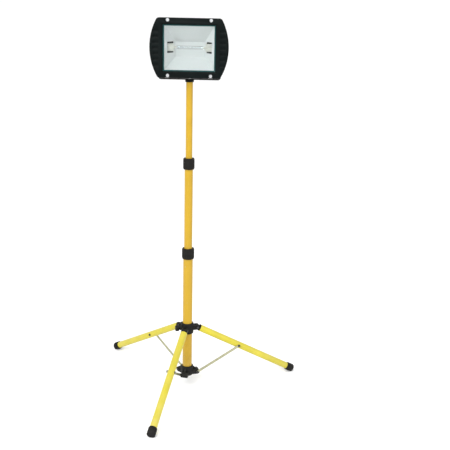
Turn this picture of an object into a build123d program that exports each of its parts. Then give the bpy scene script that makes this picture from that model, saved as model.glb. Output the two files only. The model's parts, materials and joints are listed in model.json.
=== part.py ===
from build123d import *
import os
from math import sin, cos, radians, degrees, atan2, hypot

os.makedirs("parts", exist_ok=True)

# ---------------------------------------------------------------- driving dimensions, mm
# The pole stands on the Z axis, the ground is z = 0 and the lamp head faces -Y.
overall_height = 1600.0

# fits between pieces
cut_past = 1.0         # cutting shapes reach this far past a wall
fit = 0.05             # piece fixed on another piece
pin_play = 0.08        # turning pin in its hole
run_gap = 0.3          # sliding or turning sleeves

# pole tubes
lower_tube_r = 21.0
mid_tube_r = 17.5
upper_tube_r = 14.0
tube_wall = 1.5
lower_tube_bottom = 46.0
lower_tube_top = 625.0
mid_tube_bottom = 462.0
mid_tube_top = 1019.0
upper_tube_bottom = 868.0
upper_tube_top = 1345.0
bush_height = 26.0
bush_lip = 5.0
collet_skirt_t = 2.4
collet_skirt_drop = 31.0
collet_finger_t = 3.2
collet_finger_start = 4.0
collet_finger_end = 9.0
collet_splits = 6
collet_split_w = 2.0

# tripod geometry, measured in the upright plane of a leg
leg_angles = {"front": -13.5, "right": 106.5, "left": -133.5}
pin_ring_r = 44.0      # radius of both the collar pins and the hub pins
collar_pin_z = 267.0
hub_pin_z = 54.0
foot_end_r = 507.0
foot_end_z = 11.5
leg_run = foot_end_r - pin_ring_r
leg_drop = collar_pin_z - foot_end_z
leg_length = hypot(leg_run, leg_drop)
leg_tilt = degrees(atan2(leg_run, leg_drop))
link_length = (collar_pin_z - hub_pin_z) / 2 / cos(radians(leg_tilt))
mid_pin_r = pin_ring_r + link_length * sin(radians(leg_tilt))
mid_pin_z = (collar_pin_z + hub_pin_z) / 2

# legs
leg_tube_r = 15.0
leg_wall = 1.2
leg_tube_start = 14.0
foot_floor = 8.0
leg_tube_end = leg_length - foot_floor
tongue_half = 6.0
tongue_r = 10.0
plug_depth = 28.0
plug_rim_t = 2.5
foot_r = 18.0
foot_length = 36.0
foot_wall = 1.8
foot_sole = 12.0
foot_round = 6.0
pivot_pin_r = 3.0
pin_head_r = 5.5
pin_head_t = 2.5

# steel braces
brace_width = 11.0
brace_thick = 2.5
brace_leg_gap = 0.4
brace_side = leg_tube_r + brace_leg_gap
brace_side_play = 0.2
brace_outer = brace_side + brace_thick + brace_side_play

# brace hub and leg collar
hub_bottom = 40.0
hub_top = 86.0
hub_r = 27.0
hub_lobe_half = 14.8
hub_lobe_r = 11.0
hub_round = 8.0
hub_edge = 2.0
lobe_root_r = 20.0
web_root_r = 24.0
web_half = 4.0
web_drop = 4.0
drain_r = 5.0
collar_bottom = 243.0
collar_top = 291.0
collar_r = 27.0
cheek_inner = tongue_half + 0.3
cheek_t = 6.0
cheek_outer = cheek_inner + cheek_t
cheek_r = 11.0
cheek_root_w = 12.0
cheek_start_r = 24.0
collar_edge = 2.5
collar_foot_edge = 1.5
lock_angle = -73.5
lock_boss_r = 10.0
lock_boss_start = 15.0
lock_boss_end = 34.0
lock_tip_gap = 0.6
knob_gap = 1.0
lock_screw_r = 4.0
lock_screw_grip = 15.0
collar_knob_hub_r = 8.0
collar_knob_r = 14.0
collar_knob_t = 14.0

# twist locks
lower_lock_bottom = 589.0
upper_lock_bottom = 983.0
lock_height = 47.0
lock_rib_r = 1.1
lock_ribs = 18
lock_rib_inset = 4.0
lock_top_edge = 1.5
lock_bottom_edge = 1.0
lock_seat_gap = 0.5
lower_grip_r = 25.4
upper_grip_r = 22.9

# pole top and stirrup
flange_top = 1355.0
flange_r = 18.0
flange_edge = 2.0
spigot_length = 40.0
spigot_bore_r = 10.2
spigot_bore_depth = 14.0
pan_bolt_r = 5.0
pan_bolt_out = 18.0
pan_bolt_head = 7.0
pan_nut_flats = 17.0
pan_nut_t = 8.0
pan_washer_r = 10.5
pan_washer_t = 2.0
stirrup_t = 4.0
stirrup_half = 123.0
stirrup_half_width = 13.0
stirrup_bend = 8.0
stirrup_above = 160.0  # the strip is cut from a frame reaching this far above the axis
stirrup_open = 40.0
stirrup_hole_x = 45.0
stirrup_hole_r = 4.5
pivot_washer_r = 12.0
tilt_knob_hub_r = 9.0
tilt_knob_r = 16.0
tilt_knob_t = 13.0
knob_hub_t = 5.0
knob_lobes = 6
knob_lobe_r = 3.5
knob_dip = 2.5
knob_cap = 4.0

# lamp head, measured from the tilt axis
bezel_half_height = 117.0
tilt_axis_z = overall_height - bezel_half_height
bezel_front = -75.0
bezel_rear = -53.0
bezel_top_half = 127.0
bezel_mid_half = 157.0
bezel_bottom_half = 124.0
bezel_corner_r = 14.0
bezel_edge = 4.0
window_edge = 6.0
window_w = 208.0
window_h = 180.0
pocket_w = 222.0
pocket_h = 194.0
pocket_floor = -65.0
glass_w = 216.0
glass_h = 188.0
glass_front = -63.0
glass_rear = -58.0
gasket_open_w = 200.0
gasket_open_h = 172.0
screw_x = 86.0
screw_z = 108.0
notch_r = 8.5
notch_floor = -57.0
notch_slot_h = 12.0
bezel_screw_r = 2.5
bezel_screw_in = 6.0
bezel_head_r = 6.5
bezel_head_t = 4.0
cross_w = 8.0
cross_t = 1.6
cross_depth = 2.5
groove_count = 7
groove_pitch = 22.0
groove_w = 24.0
groove_h = 10.0
groove_x = 133.0
groove_depth = 4.0
groove_corner_r = 3.0

flange_rear = -49.0
shell_rear = 38.0
shell_wall = 3.5
shell_corner_r = 14.0
flange_half_w = 120.0
flange_half_h = 114.5
flange_window_r = 6.0
flange_window_cut = 6.0
screw_boss_r = 5.4
screw_boss_t = 8.0
shell_front_w = 228.0
shell_front_h = 192.0
shell_rear_w = 200.0
shell_rear_h = 118.0
fin_count = 9
fin_pitch = 20.0
fin_t = 3.0
fin_depth = 14.0
fin_height = 106.0
fin_root = 2.0
box_margin = 8.0
pivot_boss_r = 14.0
pivot_boss_end = 121.5
pivot_core_r = 11.0
pivot_core_start = 98.0
tilt_bolt_r = 4.0
tilt_bolt_inner = 106.0
tilt_bolt_out = 14.0

reflector_back = 28.0
reflector_front = -50.0
reflector_t = 1.0
reflector_back_top = 22.0
reflector_back_bottom = -40.0
reflector_fold = 0.6
reflector_lip = 1.3
reflector_screw_x = 40.0
reflector_screw_r = 2.0
reflector_head_r = 4.0
reflector_head_t = 2.0
reflector_post_r = 6.0
reflector_front_half_h = 88.0
reflector_back_half_w = 61.0
reflector_front_half_w = 100.0
cheek_plate_t = 1.2
holder_slot_depth = 44.0
holder_slot_height = 44.0

lamp_y = -8.0
lamp_length = 135.0
lamp_glass_half = 52.0
lamp_r = 6.0
lamp_wall = 1.2
lamp_end_t = 2.0
filament_r = 0.8
lamp_cap_r = 4.5
holder_inner = 64.0
holder_outer = 91.0
holder_corner_r = 2.0
holder_play = 0.3
bracket_t = 1.5
bracket_w = 14.0
bracket_front = -14.0
bracket_foot = 12.0
holder_depth = 18.0
holder_height = 30.0

box_w = 92.0
box_h = 60.0
box_z = -25.0
box_front = 41.0
box_rear = 73.0
box_wall = 3.0
box_corner_r = 5.0
box_post = 8.0
box_post_inset = 12.0
box_screw_r = 1.6
box_screw_depth = 14.0
box_head_r = 3.2
box_head_t = 2.2
wire_hole_r = 6.0
gasket_t = 1.5
gasket_rim = 12.0
cover_edge = 1.5
terminal_x = 22.0
terminal_w = 30.0
terminal_h = 16.0
terminal_t = 14.0
terminal_pitch = 10.0
terminal_hole_r = 2.2
terminal_hole_depth = 8.0
earth_x = -26.0
earth_r = 4.0
earth_t = 3.0
cover_t = 4.0
gland_y = 57.0
gland_thread_r = 8.0
gland_flats = 22.0
gland_hex_t = 7.0
gland_thread_out = 5.0
gland_dome_r = 9.5
gland_dome_t = 13.0
gland_dome_round = 3.0
gland_bore_r = 4.5
gland_bore_length = 40.0
gland_nut_flats = 21.0
gland_nut_t = 4.0


# ---------------------------------------------------------------- helpers
def save(builder, name):
    """Label a finished sub-part and write it as its own STEP file."""
    builder.part.label = name
    export_step(builder.part, f"parts/{name}.step")


def outward(angle):
    """Unit vector pointing away from the pole at a leg's compass angle."""
    return sin(radians(angle)), -cos(radians(angle))


def radial_plane(angle, side=0.0):
    """Upright plane of a leg: local x runs outward, local y runs up."""
    ux, uy = outward(angle)
    return Plane(origin=(uy * side, -ux * side, 0), x_dir=(ux, uy, 0), z_dir=(uy, -ux, 0))


def leg_point(angle, along):
    """Point on a leg's axis, measured down the leg from its collar pin."""
    ux, uy = outward(angle)
    reach = pin_ring_r + along * sin(radians(leg_tilt))
    return reach * ux, reach * uy, collar_pin_z - along * cos(radians(leg_tilt))


def leg_plane(angle, along):
    """Plane square to a leg's axis, facing down the leg."""
    ux, uy = outward(angle)
    fall = sin(radians(leg_tilt))
    return Plane(
        origin=leg_point(angle, along),
        x_dir=(uy, -ux, 0),
        z_dir=(ux * fall, uy * fall, -cos(radians(leg_tilt))),
    )


def lying_plane(angle, side):
    """Upright plane at a leg's collar pin: local x runs down the leg."""
    ux, uy = outward(angle)
    fall = sin(radians(leg_tilt))
    px, py, pz = leg_point(angle, 0)
    return Plane(
        origin=(px + uy * side, py - ux * side, pz),
        x_dir=(ux * fall, uy * fall, -cos(radians(leg_tilt))),
        z_dir=(uy, -ux, 0),
    )


def head_plane(depth):
    """Plane across the lamp head at world y = depth, centred on the tilt axis and facing -Y."""
    return Plane(origin=(0, depth, tilt_axis_z), x_dir=(1, 0, 0), z_dir=(0, -1, 0))


def side_plane(across):
    """Plane square to the tilt axis at x = across, centred on the axis and facing +X."""
    return Plane(origin=(across, 0, tilt_axis_z), x_dir=(0, 1, 0), z_dir=(1, 0, 0))


def make_tube(name, radius, bottom, top):
    """Round pole tube open at both ends."""
    with BuildPart() as tube:
        with BuildSketch(Plane.XY.offset(bottom)):
            Circle(radius)
            Circle(radius - tube_wall, mode=Mode.SUBTRACT)
        extrude(amount=top - bottom)
    save(tube, name)


def make_bush(name, tube_r, outer_r, bottom):
    """Plastic guide pressed on the lower end of a sliding tube."""
    with BuildPart() as bush:
        with BuildSketch(Plane.XY.offset(bottom - bush_lip)):
            Circle(outer_r)
            Circle(tube_r - tube_wall, mode=Mode.SUBTRACT)
        extrude(amount=bush_lip)
        with BuildSketch(Plane.XY.offset(bottom)):
            Circle(outer_r)
            Circle(tube_r + fit, mode=Mode.SUBTRACT)
        extrude(amount=bush_height - bush_lip)
    save(bush, name)


def make_collet(name, outer_tube_r, inner_tube_r, tube_top):
    """Ferrule on the top of the wider tube, with split fingers round the narrower one."""
    bottom = tube_top - collet_skirt_drop
    skirt_r = outer_tube_r + collet_skirt_t
    finger_r = inner_tube_r + collet_finger_t
    finger_bottom = tube_top + collet_finger_start
    finger_top = tube_top + collet_finger_end
    with BuildPart() as collet:
        with BuildSketch(Plane.XY.offset(bottom)):
            Circle(skirt_r)
            Circle(outer_tube_r + fit, mode=Mode.SUBTRACT)
        extrude(amount=tube_top - bottom)
        with BuildSketch(Plane.XY.offset(tube_top)):
            Circle(skirt_r)
            Circle(inner_tube_r + run_gap, mode=Mode.SUBTRACT)
        extrude(amount=finger_bottom - tube_top)
        with BuildSketch(Plane.XY.offset(finger_bottom)):
            Circle(finger_r)
            Circle(inner_tube_r + run_gap, mode=Mode.SUBTRACT)
            with PolarLocations(inner_tube_r + collet_finger_t / 2, collet_splits):
                Rectangle(2 * collet_finger_t, collet_split_w, mode=Mode.SUBTRACT)
        extrude(amount=finger_top - finger_bottom)
    save(collet, name)


def make_lock_ring(name, outer_tube_r, inner_tube_r, tube_top, bottom, grip_r):
    """Ribbed twist ring that squeezes the collet."""
    seat = tube_top + collet_finger_start + lock_seat_gap
    with BuildPart() as ring:
        with BuildSketch(Plane.XY.offset(bottom)):
            Circle(grip_r)
        extrude(amount=lock_height)
        chamfer(ring.edges().group_by(Axis.Z)[-1], lock_top_edge)
        chamfer(ring.edges().group_by(Axis.Z)[0], lock_bottom_edge)
        with BuildSketch(Plane.XY.offset(bottom + lock_rib_inset)):
            with PolarLocations(grip_r, lock_ribs):
                Circle(lock_rib_r)
        extrude(amount=lock_height - 2 * lock_rib_inset)
        with BuildSketch(Plane.XY.offset(bottom)):
            Circle(outer_tube_r + collet_skirt_t + run_gap)
        extrude(amount=seat - bottom, mode=Mode.SUBTRACT)
        with BuildSketch(Plane.XY.offset(seat)):
            Circle(inner_tube_r + collet_finger_t + run_gap)
        extrude(amount=collet_finger_end - collet_finger_start, mode=Mode.SUBTRACT)
        with BuildSketch(Plane.XY.offset(bottom)):
            Circle(inner_tube_r + 2 * run_gap)
        extrude(amount=lock_height, mode=Mode.SUBTRACT)
    save(ring, name)


def make_pins(name, radius_from_pole, height, inner_side, outer_side):
    """Three riveted pivot pins, one through each lobe."""
    with BuildPart() as pins:
        for angle in leg_angles.values():
            with BuildSketch(radial_plane(angle, inner_side)):
                with Locations((radius_from_pole, height)):
                    Circle(pivot_pin_r)
            extrude(amount=outer_side - inner_side)
            with BuildSketch(radial_plane(angle, inner_side - pin_head_t), radial_plane(angle, outer_side)):
                with Locations((radius_from_pole, height)):
                    Circle(pin_head_r)
            extrude(amount=pin_head_t)
    save(pins, name)


def make_leg(side_name, angle):
    """One tripod leg: painted tube, top plug, rubber foot and mid-leg rivet."""
    with BuildPart() as tube:
        with BuildSketch(leg_plane(angle, leg_tube_start)):
            Circle(leg_tube_r)
            Circle(leg_tube_r - leg_wall, mode=Mode.SUBTRACT)
        extrude(amount=leg_tube_end - leg_tube_start)
        with BuildSketch(radial_plane(angle)):
            with Locations((mid_pin_r, mid_pin_z)):
                Circle(pivot_pin_r + fit)
        extrude(amount=leg_tube_r + cut_past, both=True, mode=Mode.SUBTRACT)
    save(tube, f"leg_{side_name}_tube")

    with BuildPart() as plug:
        with BuildSketch(lying_plane(angle, 0)):
            Circle(tongue_r)
            with Locations((leg_tube_start / 2, 0)):
                Rectangle(leg_tube_start, 2 * tongue_r)
        extrude(amount=tongue_half, both=True)
        with BuildSketch(leg_plane(angle, leg_tube_start - plug_rim_t)):
            Circle(leg_tube_r)
        extrude(amount=plug_rim_t)
        with BuildSketch(leg_plane(angle, leg_tube_start)):
            Circle(leg_tube_r - leg_wall - fit)
        extrude(amount=plug_depth)
        with BuildSketch(lying_plane(angle, 0)):
            Circle(pivot_pin_r + pin_play)
        extrude(amount=tongue_half + cut_past, both=True, mode=Mode.SUBTRACT)
    save(plug, f"leg_{side_name}_plug")

    with BuildPart() as foot:
        with BuildSketch(leg_plane(angle, leg_length - foot_length)):
            Circle(leg_tube_r + foot_wall)
        with BuildSketch(leg_plane(angle, leg_length - foot_sole)):
            Circle(foot_r)
        loft()
        with BuildSketch(leg_plane(angle, leg_length - foot_sole)):
            Circle(foot_r)
        extrude(amount=foot_sole)
        fillet(foot.faces().filter_by(GeomType.PLANE).sort_by(Axis.Z)[0].edges(), foot_round)
        with BuildSketch(leg_plane(angle, leg_length - foot_length)):
            Circle(leg_tube_r + fit)
        extrude(amount=leg_tube_end - leg_length + foot_length, mode=Mode.SUBTRACT)
        split(bisect_by=Plane.XY, keep=Keep.TOP)
    save(foot, f"leg_{side_name}_foot")

    with BuildPart() as rivet:
        with BuildSketch(radial_plane(angle, -leg_tube_r)):
            with Locations((mid_pin_r, mid_pin_z)):
                Circle(pivot_pin_r)
        extrude(amount=leg_tube_r + brace_outer)
        with BuildSketch(radial_plane(angle, -leg_tube_r - pin_head_t), radial_plane(angle, brace_outer)):
            with Locations((mid_pin_r, mid_pin_z)):
                Circle(pin_head_r)
        extrude(amount=pin_head_t)
    save(rivet, f"leg_{side_name}_rivet")

    with BuildPart() as brace:
        with BuildSketch(radial_plane(angle, brace_side)):
            with Locations(((pin_ring_r + mid_pin_r) / 2, (hub_pin_z + mid_pin_z) / 2)):
                SlotCenterToCenter(link_length, brace_width, rotation=90 - leg_tilt)
            with Locations((pin_ring_r, hub_pin_z), (mid_pin_r, mid_pin_z)):
                Circle(pivot_pin_r + pin_play, mode=Mode.SUBTRACT)
        extrude(amount=brace_thick)
    save(brace, f"brace_{side_name}")


def make_hex_nut(name, plane, across_flats, height, hole_r):
    """Plain hexagon nut standing on a plane."""
    with BuildPart() as nut:
        with BuildSketch(plane):
            RegularPolygon(across_flats / 2, 6, major_radius=False)
            Circle(hole_r, mode=Mode.SUBTRACT)
        extrude(amount=height)
    save(nut, name)


def make_star_knob(name, plane, hub_r, star_r, star_t, screw_hole_r):
    """Moulded six-lobe hand knob; the plane faces out of the knob's head."""
    with BuildPart() as knob:
        with BuildSketch(plane):
            Circle(hub_r)
        extrude(amount=knob_hub_t)
        with BuildSketch(plane.offset(knob_hub_t)):
            Circle(star_r - knob_dip)
            with PolarLocations(star_r - knob_lobe_r, knob_lobes):
                Circle(knob_lobe_r)
        extrude(amount=star_t)
        with BuildSketch(plane):
            Circle(screw_hole_r)
        extrude(amount=knob_hub_t + star_t - knob_cap, mode=Mode.SUBTRACT)
    save(knob, name)


# ---------------------------------------------------------------- pole tubes, bushes, twist locks
make_tube("lower_tube", lower_tube_r, lower_tube_bottom, lower_tube_top)
make_tube("mid_tube", mid_tube_r, mid_tube_bottom, mid_tube_top)
make_tube("upper_tube", upper_tube_r, upper_tube_bottom, upper_tube_top)
make_bush("mid_bush", mid_tube_r, lower_tube_r - tube_wall - run_gap, mid_tube_bottom)
make_bush("upper_bush", upper_tube_r, mid_tube_r - tube_wall - run_gap, upper_tube_bottom)
make_collet("lower_collet", lower_tube_r, mid_tube_r, lower_tube_top)
make_collet("upper_collet", mid_tube_r, upper_tube_r, mid_tube_top)
make_lock_ring(
    "lower_lock_ring", lower_tube_r, mid_tube_r, lower_tube_top, lower_lock_bottom, lower_grip_r
)
make_lock_ring(
    "upper_lock_ring", mid_tube_r, upper_tube_r, mid_tube_top, upper_lock_bottom, upper_grip_r
)

# ---------------------------------------------------------------- brace hub, fixed on the tube bottom
with BuildPart() as brace_hub:
    with BuildSketch(Plane.XY.offset(hub_bottom)):
        Circle(hub_r)
    extrude(amount=hub_top - hub_bottom)
    fillet(brace_hub.edges().group_by(Axis.Z)[0], hub_round)
    chamfer(brace_hub.edges().group_by(Axis.Z)[-1], hub_edge)
    for angle in leg_angles.values():
        with BuildSketch(radial_plane(angle)):
            with Locations(((pin_ring_r + lobe_root_r) / 2, hub_pin_z)):
                Rectangle(pin_ring_r - lobe_root_r, 2 * hub_lobe_r)
            with Locations((pin_ring_r, hub_pin_z)):
                Circle(hub_lobe_r)
        extrude(amount=hub_lobe_half, both=True)
        with BuildSketch(radial_plane(angle)):
            with BuildLine():
                Polyline(
                    (web_root_r, hub_pin_z + hub_lobe_r - cut_past),
                    (pin_ring_r, hub_pin_z + hub_lobe_r - cut_past),
                    (web_root_r, hub_top - web_drop),
                    close=True,
                )
            make_face()
        extrude(amount=web_half, both=True)
    with BuildSketch(Plane.XY.offset(lower_tube_bottom)):
        Circle(lower_tube_r + fit)
    extrude(amount=hub_top - lower_tube_bottom, mode=Mode.SUBTRACT)
    with BuildSketch(Plane.XY.offset(hub_bottom)):
        Circle(drain_r)
    extrude(amount=lower_tube_bottom - hub_bottom, mode=Mode.SUBTRACT)
    for angle in leg_angles.values():
        with BuildSketch(radial_plane(angle)):
            with Locations((pin_ring_r, hub_pin_z)):
                Circle(pivot_pin_r + fit)
        extrude(amount=hub_lobe_half + cut_past, both=True, mode=Mode.SUBTRACT)
save(brace_hub, "brace_hub")
make_pins("hub_pins", pin_ring_r, hub_pin_z, -hub_lobe_half, brace_outer)

# ---------------------------------------------------------------- sliding leg collar
with BuildPart() as leg_collar:
    with BuildSketch(Plane.XY.offset(collar_bottom)):
        Circle(collar_r)
    extrude(amount=collar_top - collar_bottom)
    chamfer(leg_collar.edges().group_by(Axis.Z)[-1], collar_edge)
    chamfer(leg_collar.edges().group_by(Axis.Z)[0], collar_foot_edge)
    for angle in leg_angles.values():
        with BuildSketch(radial_plane(angle)):
            with Locations((lobe_root_r + cheek_root_w / 2, collar_pin_z)):
                Rectangle(cheek_root_w, 2 * cheek_r)
        extrude(amount=cheek_outer, both=True)
        with BuildSketch(radial_plane(angle, cheek_inner), radial_plane(angle, -cheek_outer)):
            with Locations(((pin_ring_r + cheek_start_r) / 2, collar_pin_z)):
                Rectangle(pin_ring_r - cheek_start_r, 2 * cheek_r)
            with Locations((pin_ring_r, collar_pin_z)):
                Circle(cheek_r)
                Circle(pivot_pin_r + fit, mode=Mode.SUBTRACT)
        extrude(amount=cheek_t)
    lock_x, lock_y = outward(lock_angle)
    lock_plane = Plane(
        origin=(lock_x * lock_boss_start, lock_y * lock_boss_start, collar_pin_z),
        x_dir=(0, 0, 1),
        z_dir=(lock_x, lock_y, 0),
    )
    with BuildSketch(lock_plane):
        Circle(lock_boss_r)
    extrude(amount=lock_boss_end - lock_boss_start)
    with BuildSketch(Plane.XY.offset(collar_bottom)):
        Circle(lower_tube_r + run_gap)
    extrude(amount=collar_top - collar_bottom, mode=Mode.SUBTRACT)
    with BuildSketch(lock_plane):
        Circle(lock_screw_r + fit)
    extrude(amount=lock_boss_end, mode=Mode.SUBTRACT)
save(leg_collar, "leg_collar")
make_pins("collar_pins", pin_ring_r, collar_pin_z, -cheek_outer, cheek_outer)

make_star_knob(
    "collar_knob",
    lock_plane.offset(lock_boss_end + knob_gap - lock_boss_start),
    collar_knob_hub_r,
    collar_knob_r,
    collar_knob_t,
    lock_screw_r + fit,
)
lock_screw_start = lower_tube_r + lock_tip_gap
lock_screw_end = lock_boss_end + knob_gap + lock_screw_grip
with BuildPart() as collar_knob_screw:
    with BuildSketch(lock_plane.offset(lock_screw_start - lock_boss_start)):
        Circle(lock_screw_r)
    extrude(amount=lock_screw_end - lock_screw_start)
save(collar_knob_screw, "collar_knob_screw")

# ---------------------------------------------------------------- legs and braces
for leg_name, leg_angle in leg_angles.items():
    make_leg(leg_name, leg_angle)

# ---------------------------------------------------------------- pole top and pan bolt
with BuildPart() as head_adapter:
    with BuildSketch(Plane.XY.offset(upper_tube_top)):
        Circle(flange_r)
    extrude(amount=flange_top - upper_tube_top)
    chamfer(head_adapter.edges().group_by(Axis.Z)[0], flange_edge)
    with BuildSketch(Plane.XY.offset(upper_tube_top - spigot_length)):
        Circle(upper_tube_r - tube_wall - fit)
    extrude(amount=spigot_length)
    with BuildSketch(Plane.XY.offset(upper_tube_top - spigot_length)):
        Circle(spigot_bore_r)
    extrude(amount=spigot_bore_depth, mode=Mode.SUBTRACT)
    with BuildSketch(Plane.XY.offset(upper_tube_top - spigot_length)):
        Circle(pan_bolt_r + fit)
    extrude(amount=flange_top - upper_tube_top + spigot_length, mode=Mode.SUBTRACT)
save(head_adapter, "head_adapter")

bolt_seat = upper_tube_top - spigot_length + spigot_bore_depth
with BuildPart() as pan_bolt:
    with BuildSketch(Plane.XY.offset(bolt_seat)):
        Circle(pan_bolt_r)
    extrude(amount=flange_top + pan_bolt_out - bolt_seat)
    with BuildSketch(Plane.XY.offset(bolt_seat - pan_bolt_head)):
        RegularPolygon(pan_nut_flats / 2, 6, major_radius=False)
    extrude(amount=pan_bolt_head)
save(pan_bolt, "pan_bolt")

with BuildPart() as pan_washer:
    with BuildSketch(Plane.XY.offset(flange_top + stirrup_t)):
        Circle(pan_washer_r)
        Circle(pan_bolt_r + run_gap, mode=Mode.SUBTRACT)
    extrude(amount=pan_washer_t)
save(pan_washer, "pan_washer")
make_hex_nut(
    "pan_nut",
    Plane.XY.offset(flange_top + stirrup_t + pan_washer_t),
    pan_nut_flats,
    pan_nut_t,
    pan_bolt_r + fit,
)

# ---------------------------------------------------------------- stirrup
bar_drop = tilt_axis_z - flange_top
with BuildPart() as stirrup:
    with BuildSketch(head_plane(0)):
        with Locations((0, (stirrup_above - bar_drop) / 2)):
            Rectangle(2 * (stirrup_half + stirrup_t), stirrup_above + bar_drop)
    extrude(amount=stirrup_half_width, both=True)
    bottom_edges = stirrup.edges().filter_by(Axis.Y).group_by(Axis.Z)[0]
    fillet(bottom_edges, stirrup_bend + stirrup_t)
    with BuildSketch(head_plane(0)):
        with Locations((0, (stirrup_above + stirrup_open - bar_drop + stirrup_t) / 2)):
            RectangleRounded(
                2 * stirrup_half, stirrup_above + stirrup_open + bar_drop - stirrup_t, stirrup_bend
            )
    extrude(amount=stirrup_half_width + cut_past, both=True, mode=Mode.SUBTRACT)
    with BuildSketch(side_plane(0)):
        Circle(stirrup_half_width)
        with Locations((0, -bar_drop / 2)):
            Rectangle(2 * stirrup_half_width, bar_drop)
    extrude(amount=stirrup_half + stirrup_t + cut_past, both=True, mode=Mode.INTERSECT)
    with BuildSketch(side_plane(0)):
        Circle(tilt_bolt_r + run_gap)
    extrude(amount=stirrup_half + stirrup_t + cut_past, both=True, mode=Mode.SUBTRACT)
    with BuildSketch(Plane.XY.offset(flange_top)):
        Circle(pan_bolt_r + run_gap)
        with Locations((-stirrup_hole_x, 0), (stirrup_hole_x, 0)):
            Circle(stirrup_hole_r)
    extrude(amount=stirrup_t, mode=Mode.SUBTRACT)
save(stirrup, "stirrup")

with BuildPart() as pivot_washers:
    with BuildSketch(side_plane(pivot_boss_end), side_plane(-stirrup_half)):
        Circle(pivot_washer_r)
        Circle(tilt_bolt_r + run_gap, mode=Mode.SUBTRACT)
    extrude(amount=stirrup_half - pivot_boss_end)
save(pivot_washers, "pivot_washers")

for side_name, side in (("right", 1), ("left", -1)):
    knob_face = stirrup_half + stirrup_t + run_gap
    knob_plane = Plane(
        origin=(side * knob_face, 0, tilt_axis_z), x_dir=(0, 1, 0), z_dir=(side, 0, 0)
    )
    make_star_knob(
        f"tilt_knob_{side_name}",
        knob_plane,
        tilt_knob_hub_r,
        tilt_knob_r,
        tilt_knob_t,
        tilt_bolt_r + fit,
    )
    with BuildPart() as tilt_bolt:
        with BuildSketch(knob_plane.offset(tilt_bolt_inner - knob_face)):
            Circle(tilt_bolt_r)
        extrude(amount=knob_face + tilt_bolt_out - tilt_bolt_inner)
    save(tilt_bolt, f"tilt_bolt_{side_name}")

# ---------------------------------------------------------------- die-cast rear housing
with BuildPart() as housing:
    with BuildSketch(head_plane(flange_rear)):
        RectangleRounded(shell_front_w, shell_front_h, shell_corner_r)
    with BuildSketch(head_plane(shell_rear)):
        RectangleRounded(shell_rear_w, shell_rear_h, shell_corner_r)
    loft()
    with BuildSketch(head_plane(flange_rear)):
        RectangleRounded(2 * flange_half_w, 2 * flange_half_h, shell_corner_r)
    extrude(amount=flange_rear - bezel_rear)
    with BuildSketch(side_plane(-pivot_boss_end)):
        Circle(pivot_boss_r)
    extrude(amount=2 * pivot_boss_end)
    with BuildSketch(head_plane(shell_rear + fin_depth)):
        with GridLocations(fin_pitch, 0, fin_count, 1):
            Rectangle(fin_t, fin_height)
    extrude(amount=fin_depth + fin_root)
    with BuildSketch(head_plane(shell_rear + fin_depth)):
        with Locations((0, box_z)):
            Rectangle(box_w + box_margin, box_h + box_margin)
    extrude(amount=fin_depth, mode=Mode.SUBTRACT)
    with BuildSketch(head_plane(box_front)):
        with Locations((0, box_z)):
            RectangleRounded(box_w, box_h, box_corner_r)
    extrude(amount=box_front - shell_rear + fin_root)
    with BuildSketch(head_plane(flange_rear + screw_boss_t)):
        with GridLocations(2 * screw_x, 2 * screw_z, 2, 2):
            Circle(screw_boss_r)
    extrude(amount=screw_boss_t)
    with BuildSketch(head_plane(flange_rear)):
        RectangleRounded(
            shell_front_w - 2 * shell_wall,
            shell_front_h - 2 * shell_wall,
            shell_corner_r - shell_wall,
        )
    with BuildSketch(head_plane(shell_rear - shell_wall)):
        RectangleRounded(
            shell_rear_w - 2 * shell_wall,
            shell_rear_h - 2 * shell_wall,
            shell_corner_r - shell_wall,
        )
    loft(mode=Mode.SUBTRACT)
    with BuildSketch(head_plane(flange_rear + cut_past)):
        RectangleRounded(window_w, window_h, flange_window_r)
    extrude(amount=flange_window_cut, mode=Mode.SUBTRACT)
    for side in (1, -1):
        wall_plane = Plane(
            origin=(side * pivot_core_start, 0, tilt_axis_z), x_dir=(0, 1, 0), z_dir=(side, 0, 0)
        )
        with BuildSketch(wall_plane):
            Circle(pivot_core_r)
        extrude(amount=pivot_boss_end - pivot_core_start)
        with BuildSketch(wall_plane.offset(tilt_bolt_inner - cut_past - pivot_core_start)):
            Circle(tilt_bolt_r + fit)
        extrude(amount=pivot_boss_end, mode=Mode.SUBTRACT)
    with BuildSketch(head_plane(shell_rear - shell_wall + cut_past)):
        with Locations((-reflector_screw_x, 0), (reflector_screw_x, 0)):
            Circle(reflector_post_r)
    extrude(amount=shell_rear - shell_wall + cut_past - reflector_back)
    with BuildSketch(head_plane(shell_rear)):
        with Locations((-reflector_screw_x, 0), (reflector_screw_x, 0)):
            Circle(reflector_screw_r + fit)
    extrude(amount=shell_rear - reflector_back + cut_past, mode=Mode.SUBTRACT)
    with BuildSketch(head_plane(box_front + cut_past)):
        with Locations((0, box_z)):
            Circle(wire_hole_r)
    extrude(amount=box_front - shell_rear + shell_wall + 2 * cut_past, mode=Mode.SUBTRACT)
    with BuildSketch(head_plane(flange_rear + screw_boss_t)):
        with GridLocations(2 * screw_x, 2 * screw_z, 2, 2):
            Circle(bezel_screw_r + fit)
    extrude(amount=2 * screw_boss_t, mode=Mode.SUBTRACT)
save(housing, "housing")

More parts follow.
